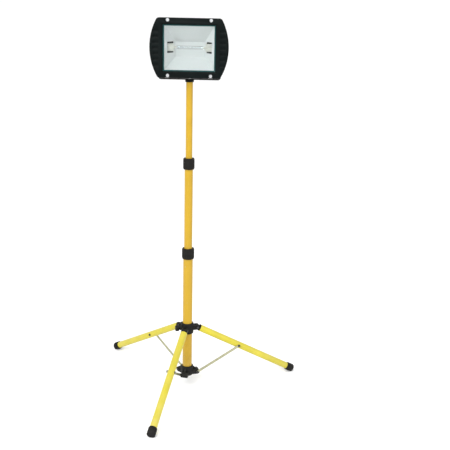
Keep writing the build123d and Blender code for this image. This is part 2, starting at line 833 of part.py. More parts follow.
# ---------------------------------------------------------------- front bezel with bowed sides
with BuildPart() as bezel:
    with BuildSketch(head_plane(bezel_rear)) as bezel_outline:
        with BuildLine():
            Line((-bezel_top_half, bezel_half_height), (bezel_top_half, bezel_half_height))
            ThreePointArc(
                (bezel_top_half, bezel_half_height),
                (bezel_mid_half, 0),
                (bezel_bottom_half, -bezel_half_height),
            )
            Line((bezel_bottom_half, -bezel_half_height), (-bezel_bottom_half, -bezel_half_height))
            ThreePointArc(
                (-bezel_bottom_half, -bezel_half_height),
                (-bezel_mid_half, 0),
                (-bezel_top_half, bezel_half_height),
            )
        make_face()
        fillet(bezel_outline.vertices(), bezel_corner_r)
    extrude(amount=bezel_rear - bezel_front)
    chamfer(bezel.faces().sort_by(Axis.Y)[0].edges(), bezel_edge)
    with BuildSketch(head_plane(bezel_rear)):
        Rectangle(window_w, window_h)
    extrude(amount=bezel_rear - bezel_front, mode=Mode.SUBTRACT)
    window_rim = bezel.faces().sort_by(Axis.Y)[0].inner_wires()[0].edges()
    chamfer(window_rim, window_edge)
    with BuildSketch(head_plane(bezel_rear)):
        Rectangle(pocket_w, pocket_h)
    extrude(amount=bezel_rear - pocket_floor, mode=Mode.SUBTRACT)
    with BuildSketch(head_plane(notch_floor)):
        with GridLocations(2 * screw_x, 2 * screw_z, 2, 2):
            Circle(notch_r)
        with GridLocations(2 * screw_x, 2 * screw_z + notch_slot_h, 2, 2):
            Rectangle(2 * notch_r, notch_slot_h)
    extrude(amount=notch_floor - bezel_front + cut_past, mode=Mode.SUBTRACT)
    with BuildSketch(head_plane(bezel_rear)):
        with GridLocations(2 * screw_x, 2 * screw_z, 2, 2):
            Circle(bezel_screw_r + fit)
    extrude(amount=bezel_rear - notch_floor + cut_past, mode=Mode.SUBTRACT)
    with BuildSketch(head_plane(bezel_front + groove_depth)):
        with GridLocations(2 * groove_x, groove_pitch, 2, groove_count):
            RectangleRounded(groove_w, groove_h, groove_corner_r)
    extrude(amount=groove_depth + cut_past, mode=Mode.SUBTRACT)
save(bezel, "bezel")

with BuildPart() as bezel_screws:
    with BuildSketch(head_plane(flange_rear + bezel_screw_in)):
        with GridLocations(2 * screw_x, 2 * screw_z, 2, 2):
            Circle(bezel_screw_r)
    extrude(amount=flange_rear + bezel_screw_in - notch_floor)
    with BuildSketch(head_plane(notch_floor)):
        with GridLocations(2 * screw_x, 2 * screw_z, 2, 2):
            Circle(bezel_head_r)
    extrude(amount=bezel_head_t)
    with BuildSketch(head_plane(notch_floor - cross_depth)):
        with GridLocations(2 * screw_x, 2 * screw_z, 2, 2):
            Rectangle(cross_w, cross_t)
            Rectangle(cross_t, cross_w)
    extrude(amount=bezel_head_t - cross_depth + cut_past, mode=Mode.SUBTRACT)
save(bezel_screws, "bezel_screws")

# ---------------------------------------------------------------- front glass and its gasket
with BuildPart() as glass:
    with BuildSketch(head_plane(glass_rear)):
        Rectangle(glass_w, glass_h)
    extrude(amount=glass_rear - glass_front)
save(glass, "glass")

with BuildPart() as glass_gasket:
    with BuildSketch(head_plane(bezel_rear)):
        Rectangle(pocket_w, pocket_h)
        Rectangle(gasket_open_w, gasket_open_h, mode=Mode.SUBTRACT)
    extrude(amount=bezel_rear - pocket_floor)
    with BuildSketch(head_plane(glass_rear)):
        Rectangle(glass_w, glass_h)
    extrude(amount=glass_rear - glass_front, mode=Mode.SUBTRACT)
    with BuildSketch(head_plane(bezel_rear)):
        Rectangle(window_w, window_h)
    extrude(amount=bezel_rear - glass_rear - cut_past, mode=Mode.SUBTRACT)
save(glass_gasket, "glass_gasket")

# ---------------------------------------------------------------- trough reflector and its ends
with BuildPart() as reflector:
    with BuildSketch(side_plane(0)):
        with BuildLine():
            Polyline(
                (reflector_back, reflector_back_bottom),
                (reflector_back, reflector_back_top),
                (reflector_front, reflector_front_half_h),
                (reflector_front, -reflector_front_half_h),
                close=True,
            )
        make_face()
        with BuildLine():
            Polyline(
                (reflector_back - reflector_t, reflector_back_bottom + reflector_fold),
                (reflector_back - reflector_t, reflector_back_top - reflector_fold),
                (reflector_front, reflector_front_half_h - reflector_lip),
                (reflector_front, -reflector_front_half_h + reflector_lip),
                close=True,
            )
        make_face(mode=Mode.SUBTRACT)
    extrude(amount=reflector_front_half_w, both=True)
    with BuildSketch(Plane.XY.offset(tilt_axis_z)):
        with BuildLine():
            Polyline(
                (-reflector_back_half_w, reflector_back),
                (reflector_back_half_w, reflector_back),
                (reflector_front_half_w, reflector_front),
                (-reflector_front_half_w, reflector_front),
                close=True,
            )
        make_face()
    extrude(amount=reflector_front_half_h, both=True, mode=Mode.INTERSECT)
    with BuildSketch(head_plane(reflector_back)):
        with Locations((-reflector_screw_x, 0), (reflector_screw_x, 0)):
            Circle(reflector_screw_r + fit)
    extrude(amount=reflector_t, mode=Mode.SUBTRACT)
save(reflector, "reflector")

with BuildPart() as reflector_ends:
    for side in (1, -1):
        with BuildSketch(Plane.XY.offset(tilt_axis_z)):
            with BuildLine():
                Polyline(
                    (side * reflector_back_half_w, reflector_back),
                    (side * (reflector_back_half_w + cheek_plate_t), reflector_back),
                    (side * (reflector_front_half_w + cheek_plate_t), reflector_front),
                    (side * reflector_front_half_w, reflector_front),
                    close=True,
                )
            make_face()
        extrude(amount=reflector_front_half_h, both=True)
    with BuildSketch(side_plane(0)):
        with BuildLine():
            Polyline(
                (reflector_back, reflector_back_bottom),
                (reflector_back, reflector_back_top),
                (reflector_front, reflector_front_half_h),
                (reflector_front, -reflector_front_half_h),
                close=True,
            )
        make_face()
        with Locations((lamp_y, 0)):
            Rectangle(holder_slot_depth, holder_slot_height, mode=Mode.SUBTRACT)
    extrude(amount=reflector_front_half_w + cheek_plate_t + cut_past, both=True, mode=Mode.INTERSECT)
save(reflector_ends, "reflector_ends")

with BuildPart() as reflector_screws:
    for screw_side in (-reflector_screw_x, reflector_screw_x):
        with BuildSketch(head_plane(shell_rear - shell_wall)):
            with Locations((screw_side, 0)):
                Circle(reflector_screw_r)
        extrude(amount=shell_rear - shell_wall - reflector_back + reflector_t)
        with BuildSketch(head_plane(reflector_back - reflector_t)):
            with Locations((screw_side, 0)):
                Circle(reflector_head_r)
        extrude(amount=reflector_head_t)
save(reflector_screws, "reflector_screws")

# ---------------------------------------------------------------- double-ended lamp and holders
lamp_line = Plane(origin=(0, lamp_y, tilt_axis_z), x_dir=(0, 1, 0), z_dir=(1, 0, 0))
with BuildPart() as lamp_tube:
    with BuildSketch(lamp_line):
        Circle(lamp_r)
        Circle(lamp_r - lamp_wall, mode=Mode.SUBTRACT)
    extrude(amount=lamp_glass_half, both=True)
    with BuildSketch(lamp_line.offset(lamp_glass_half), lamp_line.offset(-lamp_glass_half - lamp_end_t)):
        Circle(lamp_r)
    extrude(amount=lamp_end_t)
    with BuildSketch(lamp_line):
        Circle(filament_r)
    extrude(amount=lamp_glass_half, both=True)
save(lamp_tube, "lamp_tube")

with BuildPart() as lamp_caps:
    for side in (1, -1):
        cap_plane = Plane(
            origin=(side * (lamp_glass_half + lamp_end_t), lamp_y, tilt_axis_z),
            x_dir=(0, 1, 0),
            z_dir=(side, 0, 0),
        )
        with BuildSketch(cap_plane):
            Circle(lamp_cap_r)
        extrude(amount=lamp_length / 2 - lamp_glass_half - lamp_end_t)
save(lamp_caps, "lamp_caps")

with BuildPart() as lampholders:
    for side in (1, -1):
        holder_plane = Plane(
            origin=(side * holder_inner, lamp_y, tilt_axis_z), x_dir=(0, 1, 0), z_dir=(side, 0, 0)
        )
        with BuildSketch(holder_plane):
            RectangleRounded(holder_depth, holder_height, holder_corner_r)
        extrude(amount=holder_outer - holder_inner)
        with BuildSketch(holder_plane):
            Circle(lamp_cap_r + holder_play)
        extrude(amount=lamp_length / 2 - holder_inner, mode=Mode.SUBTRACT)
save(lampholders, "lampholders")

with BuildPart() as holder_brackets:
    bracket_back = shell_rear - shell_wall
    for side in (1, -1):
        bracket_plane = Plane(
            origin=(side * holder_outer, 0, tilt_axis_z), x_dir=(0, 1, 0), z_dir=(side, 0, 0)
        )
        with BuildSketch(bracket_plane):
            with Locations(((bracket_front + bracket_back) / 2, 0)):
                Rectangle(bracket_back - bracket_front, bracket_w)
        extrude(amount=bracket_t)
        with BuildSketch(bracket_plane.offset(-bracket_foot)):
            with Locations((bracket_back - bracket_t / 2, 0)):
                Rectangle(bracket_t, bracket_w)
        extrude(amount=bracket_foot + bracket_t)
save(holder_brackets, "holder_brackets")

# ---------------------------------------------------------------- wiring box on the back
gland_plane = Plane(
    origin=(0, gland_y, tilt_axis_z + box_z - box_h / 2), x_dir=(1, 0, 0), z_dir=(0, 0, 1)
)
with BuildPart() as junction_box:
    with BuildSketch(head_plane(box_rear)):
        with Locations((0, box_z)):
            RectangleRounded(box_w, box_h, box_corner_r)
    extrude(amount=box_rear - box_front)
    with BuildSketch(head_plane(box_rear)):
        with Locations((0, box_z)):
            Rectangle(box_w - 2 * box_wall, box_h - 2 * box_wall)
            with GridLocations(box_w - box_post_inset, box_h - box_post_inset, 2, 2):
                Rectangle(box_post, box_post, mode=Mode.SUBTRACT)
    extrude(amount=box_rear - box_front - box_wall, mode=Mode.SUBTRACT)
    with BuildSketch(head_plane(box_front)):
        with Locations((0, box_z)):
            Circle(wire_hole_r)
    extrude(amount=-box_wall, mode=Mode.SUBTRACT)
    with BuildSketch(head_plane(box_rear)):
        with Locations((0, box_z)):
            with GridLocations(box_w - box_post_inset, box_h - box_post_inset, 2, 2):
                Circle(box_screw_r + fit)
    extrude(amount=box_screw_depth, mode=Mode.SUBTRACT)
    with BuildSketch(gland_plane):
        Circle(gland_thread_r + fit)
    extrude(amount=box_wall, mode=Mode.SUBTRACT)
save(junction_box, "junction_box")

with BuildPart() as box_gasket:
    with BuildSketch(head_plane(box_rear + gasket_t)):
        with Locations((0, box_z)):
            RectangleRounded(box_w, box_h, box_corner_r)
            Rectangle(box_w - 2 * gasket_rim, box_h - 2 * gasket_rim, mode=Mode.SUBTRACT)
            with GridLocations(box_w - box_post_inset, box_h - box_post_inset, 2, 2):
                Circle(box_screw_r + run_gap, mode=Mode.SUBTRACT)
    extrude(amount=gasket_t)
save(box_gasket, "box_gasket")

cover_rear = box_rear + gasket_t + cover_t
with BuildPart() as box_cover:
    with BuildSketch(head_plane(cover_rear)):
        with Locations((0, box_z)):
            RectangleRounded(box_w, box_h, box_corner_r)
    extrude(amount=cover_t)
    chamfer(box_cover.faces().sort_by(Axis.Y)[-1].edges(), cover_edge)
    with BuildSketch(head_plane(cover_rear)):
        with Locations((0, box_z)):
            with GridLocations(box_w - box_post_inset, box_h - box_post_inset, 2, 2):
                Circle(box_screw_r + fit)
    extrude(amount=cover_t, mode=Mode.SUBTRACT)
save(box_cover, "box_cover")

with BuildPart() as box_screws:
    with BuildSketch(head_plane(cover_rear)):
        with Locations((0, box_z)):
            with GridLocations(box_w - box_post_inset, box_h - box_post_inset, 2, 2):
                Circle(box_screw_r)
    extrude(amount=cover_t + gasket_t + box_screw_depth - cut_past)
    with BuildSketch(head_plane(cover_rear + box_head_t)):
        with Locations((0, box_z)):
            with GridLocations(box_w - box_post_inset, box_h - box_post_inset, 2, 2):
                Circle(box_head_r)
    extrude(amount=box_head_t)
save(box_screws, "box_screws")

with BuildPart() as terminal_block:
    with BuildSketch(head_plane(box_front + box_wall + terminal_t)):
        with Locations((terminal_x, box_z)):
            Rectangle(terminal_w, terminal_h)
    extrude(amount=terminal_t)
    with BuildSketch(head_plane(box_front + box_wall + terminal_t)):
        with Locations((terminal_x, box_z)):
            with GridLocations(terminal_pitch, 0, 3, 1):
                Circle(terminal_hole_r)
    extrude(amount=terminal_hole_depth, mode=Mode.SUBTRACT)
save(terminal_block, "terminal_block")

with BuildPart() as earth_screw:
    with BuildSketch(head_plane(box_front + box_wall + earth_t)):
        with Locations((earth_x, box_z)):
            Circle(earth_r)
    extrude(amount=earth_t)
save(earth_screw, "earth_screw")

with BuildPart() as cable_gland:
    with BuildSketch(gland_plane.offset(-gland_hex_t)):
        RegularPolygon(gland_flats / 2, 6, major_radius=False)
    extrude(amount=gland_hex_t)
    with BuildSketch(gland_plane):
        Circle(gland_thread_r)
    extrude(amount=box_wall + gland_thread_out)
    with BuildSketch(gland_plane.offset(-gland_hex_t - gland_dome_t)):
        Circle(gland_dome_r)
    extrude(amount=gland_dome_t)
    fillet(cable_gland.edges().group_by(Axis.Z)[0], gland_dome_round)
    with BuildSketch(gland_plane.offset(-gland_hex_t - gland_dome_t)):
        Circle(gland_bore_r)
    extrude(amount=gland_bore_length, mode=Mode.SUBTRACT)
save(cable_gland, "cable_gland")
make_hex_nut(
    "gland_nut",
    gland_plane.offset(box_wall),
    gland_nut_flats,
    gland_nut_t,
    gland_thread_r + fit,
)
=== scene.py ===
import json
import math

import bmesh
import bpy
from mathutils import Matrix, Vector


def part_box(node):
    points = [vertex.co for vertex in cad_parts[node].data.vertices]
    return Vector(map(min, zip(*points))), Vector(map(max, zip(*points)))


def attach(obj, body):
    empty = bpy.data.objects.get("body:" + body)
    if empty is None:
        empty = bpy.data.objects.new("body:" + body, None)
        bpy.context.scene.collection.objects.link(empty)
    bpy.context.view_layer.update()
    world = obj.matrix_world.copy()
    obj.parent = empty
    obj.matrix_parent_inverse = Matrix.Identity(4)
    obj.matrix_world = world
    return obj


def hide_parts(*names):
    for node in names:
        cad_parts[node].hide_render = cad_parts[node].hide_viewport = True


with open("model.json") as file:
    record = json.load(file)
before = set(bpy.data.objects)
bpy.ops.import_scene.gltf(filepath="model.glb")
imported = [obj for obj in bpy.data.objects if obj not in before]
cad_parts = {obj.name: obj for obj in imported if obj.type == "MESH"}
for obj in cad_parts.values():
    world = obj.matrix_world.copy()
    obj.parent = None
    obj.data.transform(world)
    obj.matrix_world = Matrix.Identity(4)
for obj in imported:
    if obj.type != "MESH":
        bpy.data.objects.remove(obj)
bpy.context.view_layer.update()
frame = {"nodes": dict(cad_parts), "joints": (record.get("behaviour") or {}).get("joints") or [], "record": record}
nodes = frame["nodes"]
record = frame["record"]

BODY_OF = {node: body for body, names in record["behaviour"]["bodies"].items() for node in names}
SLOT_OF = {entry["node"]: entry["material_slot"] for entry in record["subparts"]}


# ------------------------------------------------------------------ node tree helpers
def add(tree, kind, **settings):
    """Adds a node and sets its properties."""
    node = tree.nodes.new(kind)
    for key, value in settings.items():
        setattr(node, key, value)
    return node


def link(tree, source, target):
    """Joins an output socket to an input socket."""
    tree.links.new(source, target)


def math_node(tree, operation, first, second, clamp=False):
    """A Math node whose inputs are sockets or numbers; returns its output."""
    node = add(tree, "ShaderNodeMath", operation=operation, use_clamp=clamp)
    for socket, value in zip(node.inputs, (first, second)):
        if isinstance(value, (int, float)):
            socket.default_value = value
        else:
            link(tree, value, socket)
    return node.outputs[0]


def noise(tree, vector, scale, detail=3.0, roughness=0.55, distortion=0.0):
    """A Noise Texture on a vector; scale is a number or a socket."""
    node = add(tree, "ShaderNodeTexNoise")
    link(tree, vector, node.inputs["Vector"])
    if isinstance(scale, (int, float)):
        node.inputs["Scale"].default_value = scale
    else:
        link(tree, scale, node.inputs["Scale"])
    node.inputs["Detail"].default_value = detail
    node.inputs["Roughness"].default_value = roughness
    node.inputs["Distortion"].default_value = distortion
    return node.outputs[0]


def stretched(tree, vector, scale):
    """Scales a vector by different amounts along its axes."""
    node = add(tree, "ShaderNodeMapping")
    link(tree, vector, node.inputs["Vector"])
    node.inputs["Scale"].default_value = scale
    return node.outputs[0]


def between(tree, value, low, high, to_low=0.0, to_high=1.0):
    """Maps a range of values onto another, clamped; the ends are sockets or numbers."""
    node = add(tree, "ShaderNodeMapRange", clamp=True)
    link(tree, value, node.inputs["Value"])
    for name, number in (("From Min", low), ("From Max", high), ("To Min", to_low), ("To Max", to_high)):
        if isinstance(number, (int, float)):
            node.inputs[name].default_value = number
        else:
            link(tree, number, node.inputs[name])
    return node.outputs["Result"]


def blend_colours(tree, factor, first, second):
    """Mixes two colours, each a tuple or a socket, by a mask."""
    node = add(tree, "ShaderNodeMix", data_type="RGBA")
    link(tree, factor, node.inputs["Factor"])
    for name, colour in (("A", first), ("B", second)):
        socket = [s for s in node.inputs if s.name == name and s.type == "RGBA"][0]
        if isinstance(colour, tuple):
            socket.default_value = (*colour, 1.0)
        else:
            link(tree, colour, socket)
    return [s for s in node.outputs if s.type == "RGBA"][0]


def shader_group(name, inputs, outputs):
    """An empty shader node group with named number, colour and vector sockets."""
    tree = bpy.data.node_groups.new(name, "ShaderNodeTree")
    for label, kind, value in inputs:
        socket = tree.interface.new_socket(label, in_out="INPUT", socket_type=kind)
        if value is not None:
            socket.default_value = value
    for label, kind in outputs:
        tree.interface.new_socket(label, in_out="OUTPUT", socket_type=kind)
    return tree, add(tree, "NodeGroupInput"), add(tree, "NodeGroupOutput")


FLOAT, VECTOR = "NodeSocketFloat", "NodeSocketVector"


# ------------------------------------------------------------------ shared surface effects
def build_grain():
    """Fine moulded or sprayed texture: a height and a slow mottle."""
    tree, start, end = shader_group(
        "surface grain",
        [("Vector", VECTOR, None), ("Grain Scale", FLOAT, 900.0), ("Mottle Scale", FLOAT, 14.0)],
        [("Height", FLOAT), ("Mottle", FLOAT)],
    )
    fine = noise(tree, start.outputs["Vector"], start.outputs["Grain Scale"], 2.0, 0.5)
    slow = noise(tree, start.outputs["Vector"], start.outputs["Mottle Scale"], 4.0, 0.6, 0.3)
    link(tree, fine, end.inputs["Height"])
    link(tree, between(tree, slow, 0.3, 0.7), end.inputs["Mottle"])
    return tree


def build_wear():
    """Scattered rubs and chips, and long scratches that run one way."""
    tree, start, end = shader_group(
        "rubs and scratches",
        [
            ("Vector", VECTOR, None),
            ("Rub Scale", FLOAT, 30.0),
            ("Rub Amount", FLOAT, 0.3),
            ("Scratch Vector", VECTOR, None),
            ("Scratch Amount", FLOAT, 0.3),
        ],
        [("Rubs", FLOAT), ("Scratches", FLOAT)],
    )
    patches = noise(tree, start.outputs["Vector"], start.outputs["Rub Scale"], 6.0, 0.68, 0.2)
    floor_level = between(tree, start.outputs["Rub Amount"], 0.0, 1.0, 0.8, 0.45)
    top_level = math_node(tree, "ADD", floor_level, 0.05)
    link(tree, between(tree, patches, floor_level, top_level), end.inputs["Rubs"])
    lines = noise(tree, start.outputs["Scratch Vector"], 1.0, 3.0, 0.7)
    line_level = between(tree, start.outputs["Scratch Amount"], 0.0, 1.0, 0.82, 0.5)
    line_top = math_node(tree, "ADD", line_level, 0.08)
    link(tree, between(tree, lines, line_level, line_top), end.inputs["Scratches"])
    return tree


def build_dust():
    """Dust that lies on faces turned upwards and thickens near the ground."""
    tree, start, end = shader_group(
        "settled dust",
        [("Vector", VECTOR, None), ("Amount", FLOAT, 0.3), ("Ground Height", FLOAT, 0.12)],
        [("Mask", FLOAT)],
    )
    normal = add(tree, "ShaderNodeNewGeometry").outputs["Normal"]
    split_normal = add(tree, "ShaderNodeSeparateXYZ")
    link(tree, normal, split_normal.inputs[0])
    up = between(tree, split_normal.outputs["Z"], 0.1, 0.95)
    split_place = add(tree, "ShaderNodeSeparateXYZ")
    link(tree, start.outputs["Vector"], split_place.inputs[0])
    low = between(tree, split_place.outputs["Z"], 0.0, start.outputs["Ground Height"], 1.0, 0.0)
    cloud = between(tree, noise(tree, start.outputs["Vector"], 22.0, 5.0, 0.65), 0.35, 0.7)
    cover = math_node(tree, "ADD", math_node(tree, "MULTIPLY", up, 0.45), low, clamp=True)
    cloudy = math_node(tree, "MULTIPLY", cover, cloud)
    link(tree, math_node(tree, "MULTIPLY", cloudy, start.outputs["Amount"], clamp=True), end.inputs["Mask"])
    return tree


GRAIN = build_grain()
WEAR = build_wear()
DUST = build_dust()


class Finish:
    """A new material with its Principled BSDF, Object coordinates and room for shared effects."""

    def __init__(self, name):
        self.material = bpy.data.materials.new(name)
        self.material.use_nodes = True
        self.tree = self.material.node_tree
        self.shader = self.tree.nodes["Principled BSDF"]
        self.place = add(self.tree, "ShaderNodeTexCoord").outputs["Object"]

    def blend(self, factor, first, second):
        """One colour over another by a mask."""
        return blend_colours(self.tree, factor, first, second)

    def spread(self, value, low, high, to_low=0.0, to_high=1.0):
        """A range of values stretched onto another."""
        return between(self.tree, value, low, high, to_low, to_high)

    def times(self, value, amount):
        return math_node(self.tree, "MULTIPLY", value, amount)

    def sum(self, first, second, clamp=False):
        return math_node(self.tree, "ADD", first, second, clamp)

    def less(self, first, second):
        return math_node(self.tree, "SUBTRACT", first, second)

    def stretched(self, scale):
        """Object coordinates for a pattern that runs along one axis."""
        return stretched(self.tree, self.place, scale)

    def use(self, group, vectors, **values):
        """A shared effect with this finish's own values; returns its outputs."""
        node = add(self.tree, "ShaderNodeGroup", node_tree=group)
        for name, socket in vectors.items():
            link(self.tree, socket, node.inputs[name])
        for name, number in values.items():
            node.inputs[name.replace("_", " ")].default_value = number
        return node.outputs

    def set(self, **values):
        """Plain values on the shader's own sockets."""
        for name, value in values.items():
            self.shader.inputs[name.replace("_", " ")].default_value = value

    def feed(self, name, socket):
        """A pattern that drives one of the shader's sockets."""
        link(self.tree, socket, self.shader.inputs[name])

    def bump(self, height, strength, distance):
        """Fine relief; the distance is in metres."""
        node = add(self.tree, "ShaderNodeBump")
        node.inputs["Strength"].default_value = strength
        node.inputs["Distance"].default_value = distance
        link(self.tree, height, node.inputs["Height"])
        self.feed("Normal", node.outputs["Normal"])


# ------------------------------------------------------------------ finishes
def yellow_enamel(name, colour, scratch_amount, dust_amount):
    """Sprayed enamel on steel tube: orange peel, rubs down to grey primer, drawn scratches, dust low down."""
    coat = Finish(name)
    long_lines = coat.stretched((520.0, 520.0, 9.0))
    grain = coat.use(GRAIN, {"Vector": coat.place}, Grain_Scale=420.0, Mottle_Scale=11.0)
    wear = coat.use(
        WEAR,
        {"Vector": coat.place, "Scratch Vector": long_lines},
        Rub_Scale=70.0,
        Rub_Amount=0.36,
        Scratch_Amount=scratch_amount,
    )
    dust = coat.use(DUST, {"Vector": coat.place}, Amount=dust_amount, Ground_Height=0.16)
    deep = tuple(c * 0.84 for c in colour)
    body = coat.blend(grain["Mottle"], deep, colour)
    scratched = coat.blend(coat.times(wear["Scratches"], 0.35), body, (0.9, 0.78, 0.36))
    chipped = coat.blend(wear["Rubs"], scratched, (0.3, 0.29, 0.26))
    coat.feed("Base Color", coat.blend(dust["Mask"], chipped, (0.42, 0.37, 0.28)))
    rough = coat.spread(grain["Mottle"], 0.0, 1.0, 0.3, 0.42)
    rough = coat.sum(rough, coat.times(wear["Scratches"], 0.18))
    coat.feed("Roughness", coat.sum(rough, coat.times(dust["Mask"], 0.5), True))
    coat.set(Specular_IOR_Level=0.38, Coat_Weight=0.1, Coat_Roughness=0.18)
    height = coat.less(grain["Height"], coat.times(wear["Rubs"], 0.9))
    coat.bump(height, 0.22, 0.0004)
    return coat.material


def black_powder_coat(name, colour, rub_amount):
    """Textured powder coat on a casting or strip, rubbed to a grey sheen and dusted."""
    coat = Finish(name)
    lines = coat.stretched((60.0, 60.0, 420.0))
    grain = coat.use(GRAIN, {"Vector": coat.place}, Grain_Scale=750.0, Mottle_Scale=9.0)
    wear = coat.use(
        WEAR,
        {"Vector": coat.place, "Scratch Vector": lines},
        Rub_Scale=55.0,
        Rub_Amount=rub_amount,
        Scratch_Amount=0.16,
    )
    dust = coat.use(DUST, {"Vector": coat.place}, Amount=0.16, Ground_Height=0.05)
    light = tuple(c * 1.7 + 0.001 for c in colour)
    body = coat.blend(grain["Mottle"], colour, light)
    rubbed = coat.blend(coat.times(wear["Rubs"], 0.6), body, (0.035, 0.041, 0.042))
    lined = coat.blend(coat.times(wear["Scratches"], 0.4), rubbed, (0.05, 0.055, 0.055))
    coat.feed("Base Color", coat.blend(dust["Mask"], lined, (0.14, 0.135, 0.125)))
    coat.set(Specular_IOR_Level=0.07)
    rough = coat.spread(grain["Height"], 0.3, 0.7, 0.38, 0.56)
    coat.feed("Roughness", coat.less(rough, coat.times(wear["Rubs"], 0.12)))
    coat.bump(grain["Height"], 0.35, 0.0003)
    return coat.material


def black_nylon():
    """Glass-filled nylon: matt moulded texture with pale fibre swirls and scuffs."""
    coat = Finish("moulded nylon")
    swirls = coat.stretched((260.0, 260.0, 90.0))
    grain = coat.use(GRAIN, {"Vector": coat.place}, Grain_Scale=1100.0, Mottle_Scale=24.0)
    wear = coat.use(
        WEAR,
        {"Vector": coat.place, "Scratch Vector": swirls},
        Rub_Scale=90.0,
        Rub_Amount=0.28,
        Scratch_Amount=0.34,
    )
    dust = coat.use(DUST, {"Vector": coat.place}, Amount=0.22, Ground_Height=0.1)
    body = coat.blend(grain["Mottle"], (0.004, 0.0037, 0.0033), (0.012, 0.0112, 0.010))
    swirled = coat.blend(coat.times(wear["Scratches"], 0.35), body, (0.045, 0.045, 0.042))
    scuffed = coat.blend(coat.times(wear["Rubs"], 0.6), swirled, (0.08, 0.078, 0.073))
    coat.feed("Base Color", coat.blend(dust["Mask"], scuffed, (0.1, 0.097, 0.09)))
    coat.set(Specular_IOR_Level=0.12)
    coat.feed("Roughness", coat.spread(grain["Mottle"], 0.0, 1.0, 0.46, 0.62))
    coat.bump(grain["Height"], 0.3, 0.0002)
    return coat.material


def moulded_rubber(name, colour, dust_amount):
    """Matt rubber with a fine skin, scuffs and ground-in dust."""
    coat = Finish(name)
    grain = coat.use(GRAIN, {"Vector": coat.place}, Grain_Scale=1400.0, Mottle_Scale=45.0)
    wear = coat.use(
        WEAR,
        {"Vector": coat.place, "Scratch Vector": coat.stretched((300.0, 300.0, 300.0))},
        Rub_Scale=120.0,
        Rub_Amount=0.45,
        Scratch_Amount=0.2,
    )
    dust = coat.use(DUST, {"Vector": coat.place}, Amount=dust_amount, Ground_Height=0.05)
    light = tuple(c * 1.8 + 0.004 for c in colour)
    body = coat.blend(grain["Mottle"], colour, light)
    scuffed = coat.blend(coat.times(wear["Rubs"], 0.4), body, (0.05, 0.049, 0.046))
    coat.feed("Base Color", coat.blend(dust["Mask"], scuffed, (0.3, 0.27, 0.22)))
    coat.feed("Roughness", coat.spread(grain["Mottle"], 0.0, 1.0, 0.68, 0.86))
    coat.set(Specular_IOR_Level=0.14)
    coat.bump(coat.sum(grain["Height"], wear["Rubs"]), 0.3, 0.0002)
    return coat.material


def plated_steel(name, bright, dull, rough_low, rough_high):
    """Zinc-plated steel: cloudy spangle, rolling lines and a few brown specks."""
    coat = Finish(name)
    rolled = coat.stretched((380.0, 380.0, 40.0))
    grain = coat.use(GRAIN, {"Vector": coat.place}, Grain_Scale=1500.0, Mottle_Scale=120.0)
    wear = coat.use(
        WEAR,
        {"Vector": coat.place, "Scratch Vector": rolled},
        Rub_Scale=160.0,
        Rub_Amount=0.22,
        Scratch_Amount=0.45,
    )
    body = coat.blend(grain["Mottle"], dull, bright)
    lined = coat.blend(coat.times(wear["Scratches"], 0.4), body, bright)
    coat.feed("Base Color", coat.blend(coat.times(wear["Rubs"], 0.7), lined, (0.2, 0.14, 0.09)))
    coat.set(Metallic=0.92)
    coat.feed("Roughness", coat.spread(grain["Mottle"], 0.0, 1.0, rough_high, rough_low))
    coat.bump(wear["Scratches"], 0.12, 0.0001)
    return coat.material


def reflector_sheet():
    """Bright anodised reflector sheet with slow haze and a soft brushed grain."""
    coat = Finish("reflector sheet")
    brushed = coat.stretched((22.0, 900.0, 900.0))
    grain = coat.use(GRAIN, {"Vector": coat.place}, Grain_Scale=500.0, Mottle_Scale=18.0)
    wear = coat.use(
        WEAR,
        {"Vector": coat.place, "Scratch Vector": brushed},
        Rub_Scale=40.0,
        Rub_Amount=0.1,
        Scratch_Amount=0.5,
    )
    body = coat.blend(grain["Mottle"], (0.575, 0.735, 0.73), (0.66, 0.8, 0.795))
    coat.feed("Base Color", coat.blend(coat.times(wear["Rubs"], 0.3), body, (0.62, 0.66, 0.64)))
    coat.set(Metallic=1.0)
    rough = coat.spread(grain["Mottle"], 0.0, 1.0, 0.2, 0.3)
    coat.feed("Roughness", coat.sum(rough, coat.times(wear["Scratches"], 0.08)))
    coat.bump(grain["Height"], 0.15, 0.0003)
    return coat.material


def clear_glass(name, tint, roughness, smear):
    """Clear sheet or tube: smooth, with faint smears that only change its gloss."""
    coat = Finish(name)
    grain = coat.use(GRAIN, {"Vector": coat.place}, Grain_Scale=260.0, Mottle_Scale=16.0)
    coat.feed("Base Color", coat.blend(grain["Mottle"], tint, tuple(min(1.0, c * 1.03) for c in tint)))
    coat.feed("Roughness", coat.spread(grain["Mottle"], 0.2, 1.0, roughness, roughness + smear))
    coat.set(Transmission_Weight=1.0, IOR=1.45)
    coat.bump(grain["Mottle"], 0.03, 0.0004)
    return coat.material


def fired_ceramic():
    """Steatite: warm white with fine specks."""
    coat = Finish("steatite")
    grain = coat.use(GRAIN, {"Vector": coat.place}, Grain_Scale=1300.0, Mottle_Scale=160.0)
    specks = coat.spread(grain["Height"], 0.62, 0.7)
    body = coat.blend(grain["Mottle"], (0.62, 0.6, 0.54), (0.78, 0.76, 0.7))
    coat.feed("Base Color", coat.blend(coat.times(specks, 0.5), body, (0.4, 0.37, 0.3)))
    coat.feed("Roughness", coat.spread(grain["Mottle"], 0.0, 1.0, 0.45, 0.6))
    coat.bump(grain["Height"], 0.2, 0.0002)
    return coat.material


